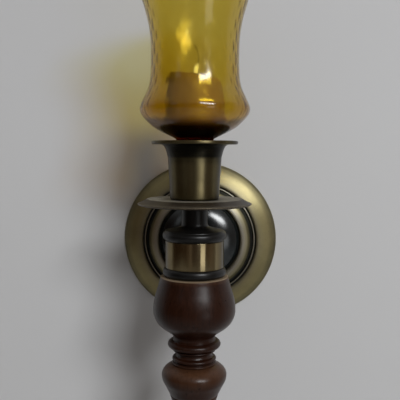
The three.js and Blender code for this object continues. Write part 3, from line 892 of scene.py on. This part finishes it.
def braided_wick():
    """Twisted strands along a wick that leans and curls at its burnt tip."""
    route = flow([
        (0.0, 84.0), (0.0, 98.0), (0.0, 108.0), (0.1, 112.4), (0.9, 115.5), (1.4, 118.4), (2.2, 121.2),
        (2.3, 124.0), (1.4, 127.4), (0.5, 131.3)], 14)
    verts, faces = [], []
    start = 0
    for strand in range(STRANDS):
        points, widths = [], []
        for x, z in route:
            phase = 2 * math.pi * (z / STRAND_PITCH + strand / STRANDS)
            burnt = ramp(z, 117.4, 2.6)
            spread = 0.42 * (1 - 0.72 * burnt)
            points.append((x + spread * math.cos(phase), spread * math.sin(phase) - 0.25 * burnt, z))
            widths.append(0.46 * (1 - 0.64 * burnt))
        ring, sides = swept(points, widths, 8, start)
        verts.extend(ring * MM)
        faces.extend(sides)
        start += len(ring)
    return mesh_object("wick_look", verts, faces)


place(braided_wick(), "candle", "wick_cotton", cotton, "wick")

# ---------------------------------------------------------------- stage


def stage_look(name, colour, one_sided):
    """Matte paint; a one-sided surface is clear from behind."""
    look = Look(name)
    soft = look.noise(look.mm, 0.004, 3)
    grain = look.noise(look.mm, 0.35, 4, 0.6)
    tone = look.mix(soft, colour, tuple(v * 0.94 for v in colour))
    look.set(Base_Color=tone, Roughness=0.9, Specular_IOR_Level=0.15, Normal=look.bump(grain, 0.05, 0.4))
    if one_sided:
        side = look.add("ShaderNodeNewGeometry")
        clear = look.add("ShaderNodeBsdfTransparent")
        look.blend_with(side.outputs["Backfacing"], clear)
    return look.material


def wall_with_hole(size, hole, offset):
    """A wall facing the room, open only behind the plate, so the plate's hollow back is lit from behind."""
    sides = 64
    verts, faces = [], []
    for k in range(sides):
        angle = 2 * math.pi * k / sides
        cos, sin = math.cos(angle), math.sin(angle)
        reach = size / max(abs(cos), abs(sin))
        verts.append((hole * cos, offset, hole * sin))
        verts.append((reach * cos, offset, reach * sin))
    for k in range(sides):
        m = (k + 1) % sides
        faces.append((2 * k, 2 * k + 1, 2 * m + 1, 2 * m))
    return mesh_object("stage_wall", verts, faces, WALL)


wall = wall_with_hole(size=2.2, hole=0.052, offset=0.0006)
wall.data.materials.append(stage_look("stage_wall_paint", WALL_PAINT, one_sided=True))
floor_corners = [(-3, -3, -0.9), (3, -3, -0.9), (3, 3, -0.9), (-3, 3, -0.9)]
floor = mesh_object("stage_floor", floor_corners, [(0, 1, 2, 3)], WALL)
floor.data.materials.append(stage_look("stage_floor_paint", FLOOR_PAINT, one_sided=False))

# ---------------------------------------------------------------- light

WINDOW_AIM = Vector((0.0, -0.06, 0.03))
WINDOW_SPREAD = 140
CEILING_RISE = (0.30, 0.75)
STUDIO_DEPTH = (-0.1, 0.35)


def window(name, azimuth, elevation, distance, width, height, power, colour, roll=0):
    """A soft rectangular light aimed at the stem; azimuth 0 is straight out from the wall."""
    a, e = math.radians(azimuth), math.radians(elevation)
    away = Vector((math.sin(a) * math.cos(e), -math.cos(a) * math.cos(e), math.sin(e)))
    data = bpy.data.lights.new(name, "AREA")
    data.shape = "RECTANGLE"
    data.size = width
    data.size_y = height
    data.energy = power
    data.spread = math.radians(WINDOW_SPREAD)
    data.color = colour
    lamp = bpy.data.objects.new(name, data)
    bpy.context.scene.collection.objects.link(lamp)
    lamp.location = WINDOW_AIM + away * distance
    turned = Quaternion((0, 0, 1), math.radians(roll))
    lamp.rotation_euler = (away.to_track_quat("Z", "Y") @ turned).to_euler()
    lamp.visible_camera = False


window("key_window", azimuth=31, elevation=27, distance=2.2, width=1.00, height=0.46, power=16.6,
       colour=(0.965, 0.985, 1.0), roll=-26)
window("low_window", azimuth=36, elevation=-10, distance=2.2, width=0.70, height=0.70, power=1.35,
       colour=(0.97, 0.99, 1.0))
window("far_window", azimuth=-38, elevation=22, distance=1.5, width=0.30, height=0.40, power=0.12,
       colour=(0.85, 0.95, 1.0))

# What stands round the room: directions in degrees to the right of straight out, and how light each is.
ROOM = [
    (-88, (0.050, 0.036, 0.024)), (-70, (0.030, 0.016, 0.009)), (-32, (0.040, 0.022, 0.012)),
    (-21, (0.085, 0.062, 0.050)), (-11, (0.150, 0.125, 0.115)), (-2, (0.062, 0.046, 0.038)),
    (12, (0.066, 0.050, 0.045)), (56, (0.110, 0.080, 0.060)), (74, (0.165, 0.135, 0.115)),
    (88, (0.150, 0.130, 0.110)),
]


def room_light():
    """A dim warm room in front of the wall, lighter to the right, and a pale studio behind it."""
    world = bpy.data.worlds.new("room")
    bpy.context.scene.world = world
    world.use_nodes = True
    tree = world.node_tree

    def add(kind, **settings):
        """A new node with its settings."""
        node = tree.nodes.new(kind)
        for key, value in settings.items():
            setattr(node, key, value)
        return node

    def spanning(value, low, high, **settings):
        """0 at low and below, 1 at high and above."""
        node = add("ShaderNodeMapRange", **settings)
        node.inputs["From Min"].default_value = low
        node.inputs["From Max"].default_value = high
        tree.links.new(value, node.inputs["Value"])
        return node.outputs[0]

    def mixed(share, under, over):
        """A linked colour, with a share of a plain one over it."""
        node = add("ShaderNodeMix", data_type="RGBA")
        node.inputs[7].default_value = over
        tree.links.new(share, node.inputs[0])
        tree.links.new(under, node.inputs[6])
        return node.outputs[2]

    coord = add("ShaderNodeTexCoord")
    parts = add("ShaderNodeSeparateXYZ")
    tree.links.new(coord.outputs["Generated"], parts.inputs[0])
    east, north, up = parts.outputs
    outward = add("ShaderNodeMath", operation="MULTIPLY")
    outward.inputs[1].default_value = -1
    tree.links.new(north, outward.inputs[0])
    azimuth = add("ShaderNodeMath", operation="ARCTAN2")
    tree.links.new(east, azimuth.inputs[0])
    tree.links.new(outward.outputs[0], azimuth.inputs[1])
    room = add("ShaderNodeValToRGB")
    room.color_ramp.interpolation = "EASE"
    stops = room.color_ramp.elements
    stops.remove(stops[1])
    for index, (degrees, colour) in enumerate(ROOM):
        spot = (degrees + 90) / 180
        stop = stops[0] if index == 0 else stops.new(spot)
        stop.position = spot
        stop.color = (*colour, 1)
    tree.links.new(spanning(azimuth.outputs[0], -math.pi / 2, math.pi / 2), room.inputs[0])
    rise = spanning(up, *CEILING_RISE, interpolation_type="SMOOTHSTEP")
    ceiling = mixed(rise, room.outputs[0], CEILING)
    blend = mixed(spanning(north, *STUDIO_DEPTH), ceiling, STUDIO)
    tree.links.new(blend, tree.nodes["Background"].inputs["Color"])


room_light()
bpy.context.scene.view_settings.view_transform = "Standard"

# ---------------------------------------------------------------- camera

CAMERA_PLACE = (0.0229, -0.4664, 0.0650)
CAMERA_DOWN = 4.427
CAMERA_ROLL = -0.2
CAMERA_LEFT = 2.84
CAMERA_LENS = 55.8
CAMERA_SENSOR = 36

camera_data = bpy.data.cameras.new("camera")
camera_data.lens = CAMERA_LENS
camera_data.sensor_width = CAMERA_SENSOR
camera = bpy.data.objects.new("camera", camera_data)
bpy.context.scene.collection.objects.link(camera)
camera.location = CAMERA_PLACE
camera.rotation_euler = (math.radians(90 - CAMERA_DOWN), math.radians(CAMERA_ROLL), math.radians(CAMERA_LEFT))
bpy.context.scene.camera = camera
